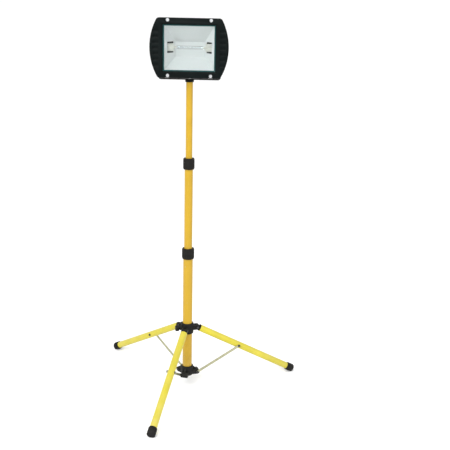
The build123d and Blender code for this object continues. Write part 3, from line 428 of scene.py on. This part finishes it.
def acetal():
    """Natural acetal guides and washers with a waxy look and a slow grey mottle."""
    coat = Finish("natural acetal")
    grain = coat.use(GRAIN, {"Vector": coat.place}, Grain_Scale=800.0, Mottle_Scale=60.0)
    coat.feed("Base Color", coat.blend(grain["Mottle"], (0.34, 0.34, 0.32), (0.52, 0.52, 0.5)))
    coat.feed("Roughness", coat.spread(grain["Height"], 0.3, 0.7, 0.34, 0.48))
    coat.bump(grain["Height"], 0.15, 0.0002)
    return coat.material


MATERIALS = {
    "pole_yellow": yellow_enamel("golden enamel", (0.45, 0.272, 0.005), 0.32, 0.25),
    "leg_yellow": yellow_enamel("lemon enamel", (0.53, 0.455, 0.024), 0.2, 0.3),
    "black_casting": black_powder_coat("powder coated casting", (0.0008, 0.0022, 0.0022), 0.22),
    "black_steel": black_powder_coat("powder coated strip", (0.003, 0.0034, 0.0036), 0.3),
    "black_nylon": black_nylon(),
    "grey_bush": acetal(),
    "zinc_steel": plated_steel("bright zinc", (0.74, 0.75, 0.76), (0.5, 0.52, 0.54), 0.2, 0.36),
    "dark_steel": plated_steel("blackened steel", (0.07, 0.07, 0.072), (0.035, 0.035, 0.037), 0.35, 0.5),
    "brace_steel": plated_steel("dull zinc strip", (0.46, 0.45, 0.31), (0.31, 0.31, 0.2), 0.38, 0.55),
    "front_glass": clear_glass("front glass", (0.93, 0.985, 0.975), 0.01, 0.05),
    "quartz": clear_glass("quartz", (0.97, 0.98, 1.0), 0.0, 0.03),
    "reflector_sheet": reflector_sheet(),
    "gasket_rubber": moulded_rubber("silicone gasket", (0.012, 0.05, 0.05), 0.1),
    "foot_rubber": moulded_rubber("foot rubber", (0.0035, 0.0035, 0.0035), 0.06),
    "ceramic": fired_ceramic(),
    "brass": plated_steel("brass", (0.78, 0.58, 0.25), (0.58, 0.4, 0.16), 0.24, 0.4),
}
TUNGSTEN = plated_steel("tungsten wire", (0.34, 0.34, 0.36), (0.2, 0.2, 0.22), 0.35, 0.5)

for node_name, cad_object in nodes.items():
    for material_slot in cad_object.material_slots:
        material_slot.material = MATERIALS[SLOT_OF[node_name]]


# ------------------------------------------------------------------ mesh helpers
def new_piece(name, mesh):
    """Links a mesh as an object at the origin."""
    piece = bpy.data.objects.new(name, mesh)
    bpy.context.scene.collection.objects.link(piece)
    return piece


def settle(piece):
    """Bakes a piece's modifiers into one plain mesh."""
    graph = bpy.context.evaluated_depsgraph_get()
    mesh = bpy.data.meshes.new_from_object(piece.evaluated_get(graph), depsgraph=graph)
    piece.modifiers.clear()
    piece.data = mesh
    return piece


def shade_smooth(piece, sharp_angle):
    """Smooth shading that stays crisp at edges sharper than an angle in degrees."""
    piece.data.polygons.foreach_set("use_smooth", [True] * len(piece.data.polygons))
    piece.data.set_sharp_from_angle(angle=math.radians(sharp_angle))


def stands_for(piece, node_name):
    """The piece rides with and hides the CAD node that it stands for."""
    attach(piece, BODY_OF[node_name])
    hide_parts(node_name)


WELD_DISTANCE = 1e-6
FLAT_ANGLE = 0.5
ROUNDED_EDGE_ANGLE = 32.0
CAST_SHARP_ANGLE = 38.0


def soften(node_name, width):
    """A copy of a CAD node with small rounded edges, as a casting or moulding has."""
    mesh = nodes[node_name].data.copy()
    work = bmesh.new()
    work.from_mesh(mesh)
    bmesh.ops.remove_doubles(work, verts=work.verts, dist=WELD_DISTANCE)
    flat = math.radians(FLAT_ANGLE)
    bmesh.ops.dissolve_limit(work, angle_limit=flat, verts=work.verts, edges=work.edges)
    work.to_mesh(mesh)
    work.free()
    piece = new_piece(f"{node_name}_rounded", mesh)
    bevel = piece.modifiers.new("rounded edges", "BEVEL")
    bevel.width = width
    bevel.segments = 2
    bevel.limit_method = "ANGLE"
    bevel.angle_limit = math.radians(ROUNDED_EDGE_ANGLE)
    settle(piece)
    shade_smooth(piece, CAST_SHARP_ANGLE)
    stands_for(piece, node_name)


ROUNDED = {
    "bezel": 0.0012,
    "housing": 0.0009,
    "brace_hub": 0.0008,
    "leg_collar": 0.0008,
    "collar_knob": 0.0007,
    "tilt_knob_right": 0.0007,
    "tilt_knob_left": 0.0007,
    "junction_box": 0.0005,
    "stirrup": 0.0005,
    "lampholders": 0.0005,
}
for rounded_node, edge_width in ROUNDED.items():
    soften(rounded_node, edge_width)


# ------------------------------------------------------------------ geometry node helpers
def geometry_tree(name, inputs):
    """A geometry node tree with named inputs and one geometry output."""
    tree = bpy.data.node_groups.new(name, "GeometryNodeTree")
    tree.interface.new_socket("Geometry", in_out="OUTPUT", socket_type="NodeSocketGeometry")
    for label, kind, value in inputs:
        socket = tree.interface.new_socket(label, in_out="INPUT", socket_type=kind)
        if value is not None:
            socket.default_value = value
    return tree, add(tree, "NodeGroupInput"), add(tree, "NodeGroupOutput")


def close_tree(tree, start, end, geometry):
    """Realizes instances, sets the material and feeds the output."""
    real = add(tree, "GeometryNodeRealizeInstances")
    link(tree, geometry, real.inputs["Geometry"])
    paint = add(tree, "GeometryNodeSetMaterial")
    link(tree, real.outputs["Geometry"], paint.inputs["Geometry"])
    link(tree, start.outputs["Material"], paint.inputs["Material"])
    link(tree, paint.outputs["Geometry"], end.inputs["Geometry"])


def grow(name, tree, values):
    """Runs a geometry node tree with its named values and keeps the result as a plain mesh."""
    piece = new_piece(name, bpy.data.meshes.new(name))
    modifier = piece.modifiers.new(name, "NODES")
    modifier.node_group = tree
    for item in tree.interface.items_tree:
        if item.in_out == "INPUT" and item.name in values:
            modifier[item.identifier] = values[item.name]
    return settle(piece)


def bake_place(piece, matrix):
    """Moves a piece's vertices so that its object can stay at the origin."""
    piece.data.transform(matrix)
    piece.data.update()


# ------------------------------------------------------------------ hammered reflector
def build_hammered_panel():
    """A tapered sheet with round dimples: wide at its near edge, narrow at its far edge."""
    tree, start, end = geometry_tree(
        "hammered panel",
        [
            ("Near Width", FLOAT, 0.2),
            ("Far Width", FLOAT, 0.12),
            ("Length", FLOAT, 0.1),
            ("Columns", "NodeSocketInt", 80),
            ("Rows", "NodeSocketInt", 40),
            ("Cell", FLOAT, 0.009),
            ("Depth", FLOAT, 0.0006),
            ("Material", "NodeSocketMaterial", None),
        ],
    )
    grid = add(tree, "GeometryNodeMeshGrid")
    grid.inputs["Size X"].default_value = 1.0
    link(tree, start.outputs["Length"], grid.inputs["Size Y"])
    link(tree, start.outputs["Columns"], grid.inputs["Vertices X"])
    link(tree, start.outputs["Rows"], grid.inputs["Vertices Y"])
    place = add(tree, "GeometryNodeInputPosition").outputs[0]
    split = add(tree, "ShaderNodeSeparateXYZ")
    link(tree, place, split.inputs[0])
    share = math_node(tree, "DIVIDE", split.outputs["Y"], start.outputs["Length"])
    along = math_node(tree, "ADD", share, 0.5)
    width = between(tree, along, 0.0, 1.0, start.outputs["Near Width"], start.outputs["Far Width"])
    across = math_node(tree, "MULTIPLY", split.outputs["X"], width)
    flat = add(tree, "ShaderNodeCombineXYZ")
    link(tree, across, flat.inputs["X"])
    link(tree, split.outputs["Y"], flat.inputs["Y"])
    cells = add(tree, "ShaderNodeTexVoronoi", voronoi_dimensions="2D", feature="F1")
    cells.inputs["Randomness"].default_value = 0.35
    link(tree, flat.outputs[0], cells.inputs["Vector"])
    link(tree, math_node(tree, "DIVIDE", 1.0, start.outputs["Cell"]), cells.inputs["Scale"])
    bowl = math_node(tree, "POWER", cells.outputs["Distance"], 2.0)
    rise = math_node(tree, "MULTIPLY", bowl, start.outputs["Depth"])
    raised = add(tree, "ShaderNodeCombineXYZ")
    link(tree, across, raised.inputs["X"])
    link(tree, split.outputs["Y"], raised.inputs["Y"])
    link(tree, rise, raised.inputs["Z"])
    shift = add(tree, "GeometryNodeSetPosition")
    link(tree, grid.outputs["Mesh"], shift.inputs["Geometry"])
    link(tree, raised.outputs[0], shift.inputs["Position"])
    close_tree(tree, start, end, shift.outputs["Geometry"])
    return tree


HAMMERED = build_hammered_panel()
MESH_STEP = 0.0022
DIMPLE_PITCH, DIMPLE_DEPTH = 0.0095, 0.0009


def hammered_panel(name, near, far):
    """A dimpled panel between two parallel edges, each given by its two end points."""
    near_left, near_right = (Vector(p) for p in near)
    far_left, far_right = (Vector(p) for p in far)
    near_mid = (near_left + near_right) / 2
    far_mid = (far_left + far_right) / 2
    length = (far_mid - near_mid).length
    x_axis = (near_right - near_left).normalized()
    y_axis = (far_mid - near_mid).normalized()
    z_axis = x_axis.cross(y_axis)
    widest = max((near_right - near_left).length, (far_right - far_left).length)
    piece = grow(
        name,
        HAMMERED,
        {
            "Near Width": (near_right - near_left).length,
            "Far Width": (far_right - far_left).length,
            "Length": length,
            "Columns": int(widest / MESH_STEP),
            "Rows": int(length / MESH_STEP),
            "Cell": DIMPLE_PITCH,
            "Depth": DIMPLE_DEPTH,
            "Material": MATERIALS["reflector_sheet"],
        },
    )
    centre = (near_mid + far_mid) / 2
    turn = Matrix((x_axis, y_axis, z_axis)).transposed().to_4x4()
    bake_place(piece, Matrix.Translation(centre) @ turn)
    return piece


def join(name, pieces):
    """Joins meshes that are already in place into the first one."""
    work = bmesh.new()
    for piece in pieces:
        work.from_mesh(piece.data)
    mesh = bpy.data.meshes.new(name)
    work.to_mesh(mesh)
    work.free()
    mesh.materials.append(pieces[0].data.materials[0])
    for piece in pieces:
        bpy.data.objects.remove(piece)
    return new_piece(name, mesh)


SHEET = 0.0008
SHEET_SHARP_ANGLE = 35.0


def give_thickness(piece):
    """Turns a sheet's inner face into a closed wall that grows outwards."""
    wall = piece.modifiers.new("sheet thickness", "SOLIDIFY")
    wall.thickness = SHEET
    wall.offset = -1.0
    settle(piece)
    shade_smooth(piece, SHEET_SHARP_ANGLE)


trough_low, trough_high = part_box("reflector")
tilt_z = (trough_low.z + trough_high.z) / 2
front_y, back_y = trough_low.y, trough_high.y - SHEET
front_half_w, front_half_h = trough_high.x - SHEET, trough_high.z - tilt_z - 2 * SHEET
BACK_HALF_W = 0.0605
BACK_TOP, BACK_BOTTOM = 0.0214, -0.0394


def reflector_corner(side, up, at_back):
    """Corner of the reflector's inner faces, at its front opening or its back panel."""
    if at_back:
        return Vector((side * BACK_HALF_W, back_y, tilt_z + (BACK_TOP if up > 0 else BACK_BOTTOM)))
    return Vector((side * front_half_w, front_y, tilt_z + up * front_half_h))


trough = join(
    "hammered_trough",
    [
        hammered_panel(
            "top_facet",
            (reflector_corner(1, 1, False), reflector_corner(-1, 1, False)),
            (reflector_corner(1, 1, True), reflector_corner(-1, 1, True)),
        ),
        hammered_panel(
            "back_facet",
            (reflector_corner(1, 1, True), reflector_corner(-1, 1, True)),
            (reflector_corner(1, -1, True), reflector_corner(-1, -1, True)),
        ),
        hammered_panel(
            "bottom_facet",
            (reflector_corner(-1, -1, False), reflector_corner(1, -1, False)),
            (reflector_corner(-1, -1, True), reflector_corner(1, -1, True)),
        ),
    ],
)
give_thickness(trough)
stands_for(trough, "reflector")

SLOT_FRONT, SLOT_BACK, SLOT_HALF_H = -0.030, 0.014, 0.022


def cut_holder_slots(sheet):
    """Opens the rectangular slot that each lampholder reaches through."""
    work = bmesh.new()
    work.from_mesh(sheet.data)
    slot_sides = (
        ((0, SLOT_FRONT, 0), (0, 1, 0)),
        ((0, SLOT_BACK, 0), (0, 1, 0)),
        ((0, 0, tilt_z - SLOT_HALF_H), (0, 0, 1)),
        ((0, 0, tilt_z + SLOT_HALF_H), (0, 0, 1)),
    )
    for side_point, side_normal in slot_sides:
        bmesh.ops.bisect_plane(
            work,
            geom=work.verts[:] + work.edges[:] + work.faces[:],
            dist=WELD_DISTANCE,
            plane_co=side_point,
            plane_no=side_normal,
        )
    inside_slot = []
    for face in work.faces:
        middle = face.calc_center_median()
        if SLOT_FRONT < middle.y < SLOT_BACK and abs(middle.z - tilt_z) < SLOT_HALF_H:
            inside_slot.append(face)
    bmesh.ops.delete(work, geom=inside_slot, context="FACES")
    work.to_mesh(sheet.data)
    work.free()


cheeks = join(
    "hammered_cheeks",
    [
        hammered_panel(
            f"cheek_{side}",
            (reflector_corner(side, -side, False), reflector_corner(side, side, False)),
            (reflector_corner(side, -side, True), reflector_corner(side, side, True)),
        )
        for side in (1, -1)
    ],
)
cut_holder_slots(cheeks)
give_thickness(cheeks)
stands_for(cheeks, "reflector_ends")


# ------------------------------------------------------------------ lamp filament
def build_filament():
    """A tungsten coil along Z with small support rings."""
    tree, start, end = geometry_tree(
        "filament coil",
        [
            ("Coil Radius", FLOAT, 0.001),
            ("Length", FLOAT, 0.09),
            ("Turns", FLOAT, 60.0),
            ("Wire Radius", FLOAT, 0.0002),
            ("Support Radius", FLOAT, 0.004),
            ("Support Count", "NodeSocketInt", 6),
            ("Material", "NodeSocketMaterial", None),
        ],
    )
    coil = add(tree, "GeometryNodeCurveSpiral")
    coil.inputs["Resolution"].default_value = 10
    link(tree, start.outputs["Turns"], coil.inputs["Rotations"])
    link(tree, start.outputs["Coil Radius"], coil.inputs["Start Radius"])
    link(tree, start.outputs["Coil Radius"], coil.inputs["End Radius"])
    link(tree, start.outputs["Length"], coil.inputs["Height"])
    wire = add(tree, "GeometryNodeCurvePrimitiveCircle")
    wire.inputs["Resolution"].default_value = 6
    link(tree, start.outputs["Wire Radius"], wire.inputs["Radius"])
    coil_mesh = add(tree, "GeometryNodeCurveToMesh")
    coil_mesh.inputs["Fill Caps"].default_value = True
    link(tree, coil.outputs["Curve"], coil_mesh.inputs["Curve"])
    link(tree, wire.outputs["Curve"], coil_mesh.inputs["Profile Curve"])
    ring = add(tree, "GeometryNodeCurvePrimitiveCircle")
    ring.inputs["Resolution"].default_value = 24
    link(tree, start.outputs["Support Radius"], ring.inputs["Radius"])
    ring_mesh = add(tree, "GeometryNodeCurveToMesh")
    link(tree, ring.outputs["Curve"], ring_mesh.inputs["Curve"])
    link(tree, wire.outputs["Curve"], ring_mesh.inputs["Profile Curve"])
    row = add(tree, "GeometryNodeMeshLine", mode="END_POINTS")
    top = add(tree, "ShaderNodeCombineXYZ")
    link(tree, start.outputs["Length"], top.inputs["Z"])
    link(tree, start.outputs["Support Count"], row.inputs["Count"])
    link(tree, top.outputs[0], row.inputs["Offset"])
    rings = add(tree, "GeometryNodeInstanceOnPoints")
    link(tree, row.outputs["Mesh"], rings.inputs["Points"])
    link(tree, ring_mesh.outputs["Mesh"], rings.inputs["Instance"])
    both = add(tree, "GeometryNodeJoinGeometry")
    link(tree, rings.outputs["Instances"], both.inputs["Geometry"])
    link(tree, coil_mesh.outputs["Mesh"], both.inputs["Geometry"])
    close_tree(tree, start, end, both.outputs["Geometry"])
    return tree


lamp_low, lamp_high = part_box("lamp_tube")
lamp_centre = (lamp_low + lamp_high) / 2
FILAMENT_SHARE = 0.86
filament_length = (lamp_high.x - lamp_low.x) * FILAMENT_SHARE
filament = grow(
    "filament",
    build_filament(),
    {
        "Coil Radius": 0.0012,
        "Length": filament_length,
        "Turns": 70.0,
        "Wire Radius": 0.00022,
        "Support Radius": 0.0042,
        "Support Count": 6,
        "Material": TUNGSTEN,
    },
)
bake_place(
    filament,
    Matrix.Translation(lamp_centre)
    @ Matrix.Rotation(math.radians(90), 4, "Y")
    @ Matrix.Translation((0, 0, -filament_length / 2)),
)
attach(filament, BODY_OF["lamp_tube"])


# ------------------------------------------------------------------ grip rings on the rubber feet
def build_grip_rings():
    """A stack of equal rubber rings along Z."""
    tree, start, end = geometry_tree(
        "grip rings",
        [
            ("Ring Radius", FLOAT, 0.0175),
            ("Bead Radius", FLOAT, 0.0011),
            ("Pitch", FLOAT, 0.006),
            ("Count", "NodeSocketInt", 4),
            ("Material", "NodeSocketMaterial", None),
        ],
    )
    ring = add(tree, "GeometryNodeCurvePrimitiveCircle")
    ring.inputs["Resolution"].default_value = 48
    link(tree, start.outputs["Ring Radius"], ring.inputs["Radius"])
    bead = add(tree, "GeometryNodeCurvePrimitiveCircle")
    bead.inputs["Resolution"].default_value = 10
    link(tree, start.outputs["Bead Radius"], bead.inputs["Radius"])
    ring_mesh = add(tree, "GeometryNodeCurveToMesh")
    link(tree, ring.outputs["Curve"], ring_mesh.inputs["Curve"])
    link(tree, bead.outputs["Curve"], ring_mesh.inputs["Profile Curve"])
    row = add(tree, "GeometryNodeMeshLine", mode="OFFSET")
    step = add(tree, "ShaderNodeCombineXYZ")
    link(tree, start.outputs["Pitch"], step.inputs["Z"])
    link(tree, start.outputs["Count"], row.inputs["Count"])
    link(tree, step.outputs[0], row.inputs["Offset"])
    stack = add(tree, "GeometryNodeInstanceOnPoints")
    link(tree, row.outputs["Mesh"], stack.inputs["Points"])
    link(tree, ring_mesh.outputs["Mesh"], stack.inputs["Instance"])
    close_tree(tree, start, end, stack.outputs["Instances"])
    return tree


GRIP_RINGS = build_grip_rings()
joints = {joint["name"]: joint for joint in frame["joints"]}
front_pivot = Vector(joints["collar_lift"]["pos_m"])
front_fall = (Vector(joints["front_leg_pivot"]["pos_m"]) - front_pivot).normalized()
LEG_TURNS = {"front": 0, "right": 120, "left": -120}
LEG_TUBE_R = 0.015
RUBBER_LAP = 0.028
FIRST_RING = 0.004
for leg_name, leg_turn in LEG_TURNS.items():
    turn = Matrix.Rotation(math.radians(leg_turn), 3, "Z")
    pivot = turn @ front_pivot
    fall = turn @ front_fall
    tube_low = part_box(f"leg_{leg_name}_tube")[0]
    tube_end = (tube_low.z + LEG_TUBE_R * math.hypot(fall.x, fall.y) - pivot.z) / fall.z
    ring_start = pivot + fall * (tube_end - RUBBER_LAP + FIRST_RING)
    rings = grow(
        f"grip_rings_{leg_name}",
        GRIP_RINGS,
        {
            "Ring Radius": 0.0172,
            "Bead Radius": 0.0011,
            "Pitch": 0.0055,
            "Count": 4,
            "Material": MATERIALS["foot_rubber"],
        },
    )
    along_leg = fall.to_track_quat("Z", "Y").to_matrix().to_4x4()
    bake_place(rings, Matrix.Translation(ring_start) @ along_leg)
    rings.data.polygons.foreach_set("use_smooth", [True] * len(rings.data.polygons))
    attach(rings, f"{leg_name}_leg")


# ------------------------------------------------------------------ floor, light and camera
FLOOR_HALF = 900.0


def pale_floor():
    """A wide plain floor."""
    mesh = bpy.data.meshes.new("floor")
    corners = [(x * FLOOR_HALF, y * FLOOR_HALF, 0) for x, y in ((-1, -1), (1, -1), (1, 1), (-1, 1))]
    mesh.from_pydata(corners, [], [(0, 1, 2, 3)])
    floor = new_piece("floor", mesh)
    paint = Finish("pale floor")
    grain = paint.use(GRAIN, {"Vector": paint.place}, Grain_Scale=60.0, Mottle_Scale=2.0)
    paint.feed("Base Color", paint.blend(grain["Mottle"], (0.92, 0.92, 0.92), (0.94, 0.94, 0.94)))
    paint.set(Roughness=0.8, Specular_IOR_Level=0.2)
    mesh.materials.append(paint.material)


def soft_light(name, place, target, size, power):
    """A large square area light aimed at a point."""
    lamp = bpy.data.lights.new(name, "AREA")
    lamp.size = size
    lamp.energy = power
    holder = bpy.data.objects.new(name, lamp)
    holder.location = place
    aim = Vector(target) - Vector(place)
    holder.rotation_euler = aim.to_track_quat("-Z", "Y").to_euler()
    bpy.context.scene.collection.objects.link(holder)


WORLD_STRENGTH = 1.12
STAND_MIDDLE = (0, 0, 0.9)
HEAD_MIDDLE = (0, 0, 1.48)


def studio():
    """Near-white surroundings, a soft key from the upper left, a weaker fill and a light on the head."""
    world = bpy.data.worlds.new("studio")
    world.use_nodes = True
    background = world.node_tree.nodes["Background"]
    background.inputs["Color"].default_value = (1.0, 1.0, 1.0, 1.0)
    background.inputs["Strength"].default_value = WORLD_STRENGTH
    bpy.context.scene.world = world
    soft_light("key", (-2.2, -2.6, 3.2), STAND_MIDDLE, size=1.8, power=70.0)
    soft_light("fill", (2.8, -2.0, 1.8), STAND_MIDDLE, size=2.2, power=25.0)
    soft_light("front", (-0.7, -3.4, 3.0), HEAD_MIDDLE, size=1.6, power=70.0)
    bpy.context.scene.view_settings.view_transform = "Standard"


CAMERA_PLACE = (0.157, -3.335, 1.679)
CAMERA_PITCH = 15.69
CAMERA_ROLL = 1.23
CAMERA_LENS = 64.73
SENSOR_WIDTH = 36.0


def camera():
    """A standing viewer's camera, tipped down at the stand."""
    data = bpy.data.cameras.new("camera")
    data.sensor_width = SENSOR_WIDTH
    data.lens = CAMERA_LENS
    view = bpy.data.objects.new("camera", data)
    view.rotation_mode = "QUATERNION"
    pitch = Matrix.Rotation(math.radians(90 - CAMERA_PITCH), 3, "X")
    roll = Matrix.Rotation(math.radians(CAMERA_ROLL), 3, "Z")
    view.rotation_quaternion = (pitch @ roll).to_quaternion()
    view.location = CAMERA_PLACE
    bpy.context.scene.collection.objects.link(view)
    bpy.context.scene.camera = view


pale_floor()
studio()
camera()
